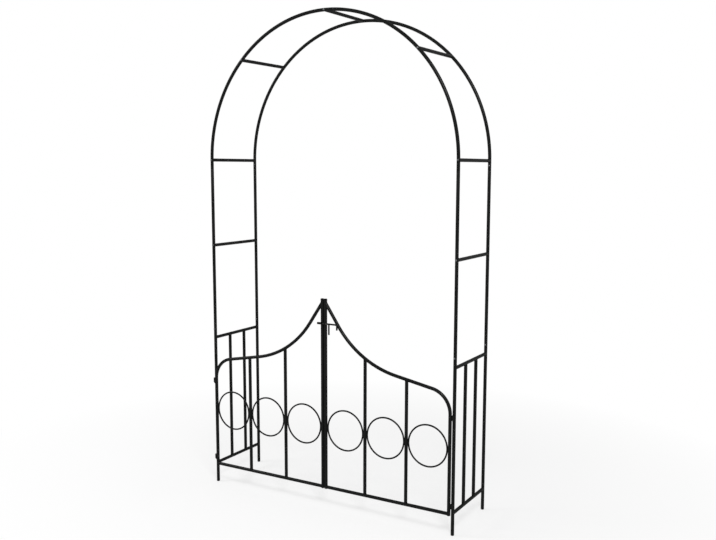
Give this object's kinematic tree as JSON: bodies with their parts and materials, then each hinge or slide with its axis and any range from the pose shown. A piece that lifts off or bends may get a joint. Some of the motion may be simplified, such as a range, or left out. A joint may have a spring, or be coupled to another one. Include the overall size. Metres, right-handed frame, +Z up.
{
  "type": "garden arch with gate",
  "caption": "Round-topped garden arch of black steel tube with trellis sides and a low gate in bent tube with rings, hung on pins and closed by a sliding bolt.",
  "frame": {"origin": "centre of the overall box at ground level, under the feet", "axes": "+X along the width to the right as seen from the gate side, +Y along the depth away from the gate, +Z upwards"},
  "size_m": [1.38, 0.3918, 2.38],
  "materials": {
    "black_coat": "semi-gloss black powder coat",
    "cap_plastic": "satin black",
    "zinc_screw": "black zinc plate"
  },
  "bodies": {
    "arch_frame": {"left_front_lower_post": "black_coat", "left_front_upper_post": "black_coat", "left_front_arch_tube": "black_coat", "left_front_post_screw": "zinc_screw", "left_rear_lower_post": "black_coat", "left_rear_upper_post": "black_coat", "left_rear_arch_tube": "black_coat", "left_rear_post_screw": "zinc_screw", "left_panel_bottom_rail": "black_coat", "left_panel_top_rail": "black_coat", "left_lower_rung": "black_coat", "left_spring_rung": "black_coat", "left_arch_rung": "black_coat", "left_panel_bar_1": "black_coat", "left_panel_bar_2": "black_coat", "left_upper_hinge_pin": "black_coat", "left_lower_hinge_pin": "black_coat", "right_front_lower_post": "black_coat", "right_front_upper_post": "black_coat", "right_front_arch_tube": "black_coat", "right_front_post_screw": "zinc_screw", "right_rear_lower_post": "black_coat", "right_rear_upper_post": "black_coat", "right_rear_arch_tube": "black_coat", "right_rear_post_screw": "zinc_screw", "right_panel_bottom_rail": "black_coat", "right_panel_top_rail": "black_coat", "right_lower_rung": "black_coat", "right_spring_rung": "black_coat", "right_arch_rung": "black_coat", "right_panel_bar_1": "black_coat", "right_panel_bar_2": "black_coat", "right_upper_hinge_pin": "black_coat", "right_lower_hinge_pin": "black_coat", "crown_rung": "black_coat"},
    "left_leaf": {"left_leaf_frame": "black_coat", "left_free_stile": "black_coat", "left_bottom_rail": "black_coat", "left_stile_cap": "cap_plastic", "left_leaf_bar_1": "black_coat", "left_leaf_bar_2": "black_coat", "left_ring_1": "black_coat", "left_ring_2": "black_coat", "left_ring_3": "black_coat", "left_upper_knuckle": "black_coat", "left_lower_knuckle": "black_coat", "bolt_keeper": "black_coat"},
    "right_leaf": {"right_leaf_frame": "black_coat", "right_free_stile": "black_coat", "right_bottom_rail": "black_coat", "right_stile_cap": "cap_plastic", "right_leaf_bar_1": "black_coat", "right_leaf_bar_2": "black_coat", "right_ring_1": "black_coat", "right_ring_2": "black_coat", "right_ring_3": "black_coat", "right_upper_knuckle": "black_coat", "right_lower_knuckle": "black_coat", "bolt_guide": "black_coat"},
    "bolt": {"bolt": "black_coat"}
  },
  "joints": [
    {"name": "left_leaf_swing", "type": "hinge", "parent": "arch_frame", "child": "left_leaf", "pos_m": [-0.682, -0.1766, 0], "axis": [0, 0, -1], "range_deg": [-17, 197]},
    {"name": "right_leaf_swing", "type": "hinge", "parent": "arch_frame", "child": "right_leaf", "pos_m": [0.682, -0.1766, 0], "axis": [0, 0, 1], "range_deg": [-17, 197]},
    {"name": "bolt_slide", "type": "slide", "parent": "right_leaf", "child": "bolt", "axis": [-1, 0, 0], "range_m": [0, 0.016]}
  ]
}
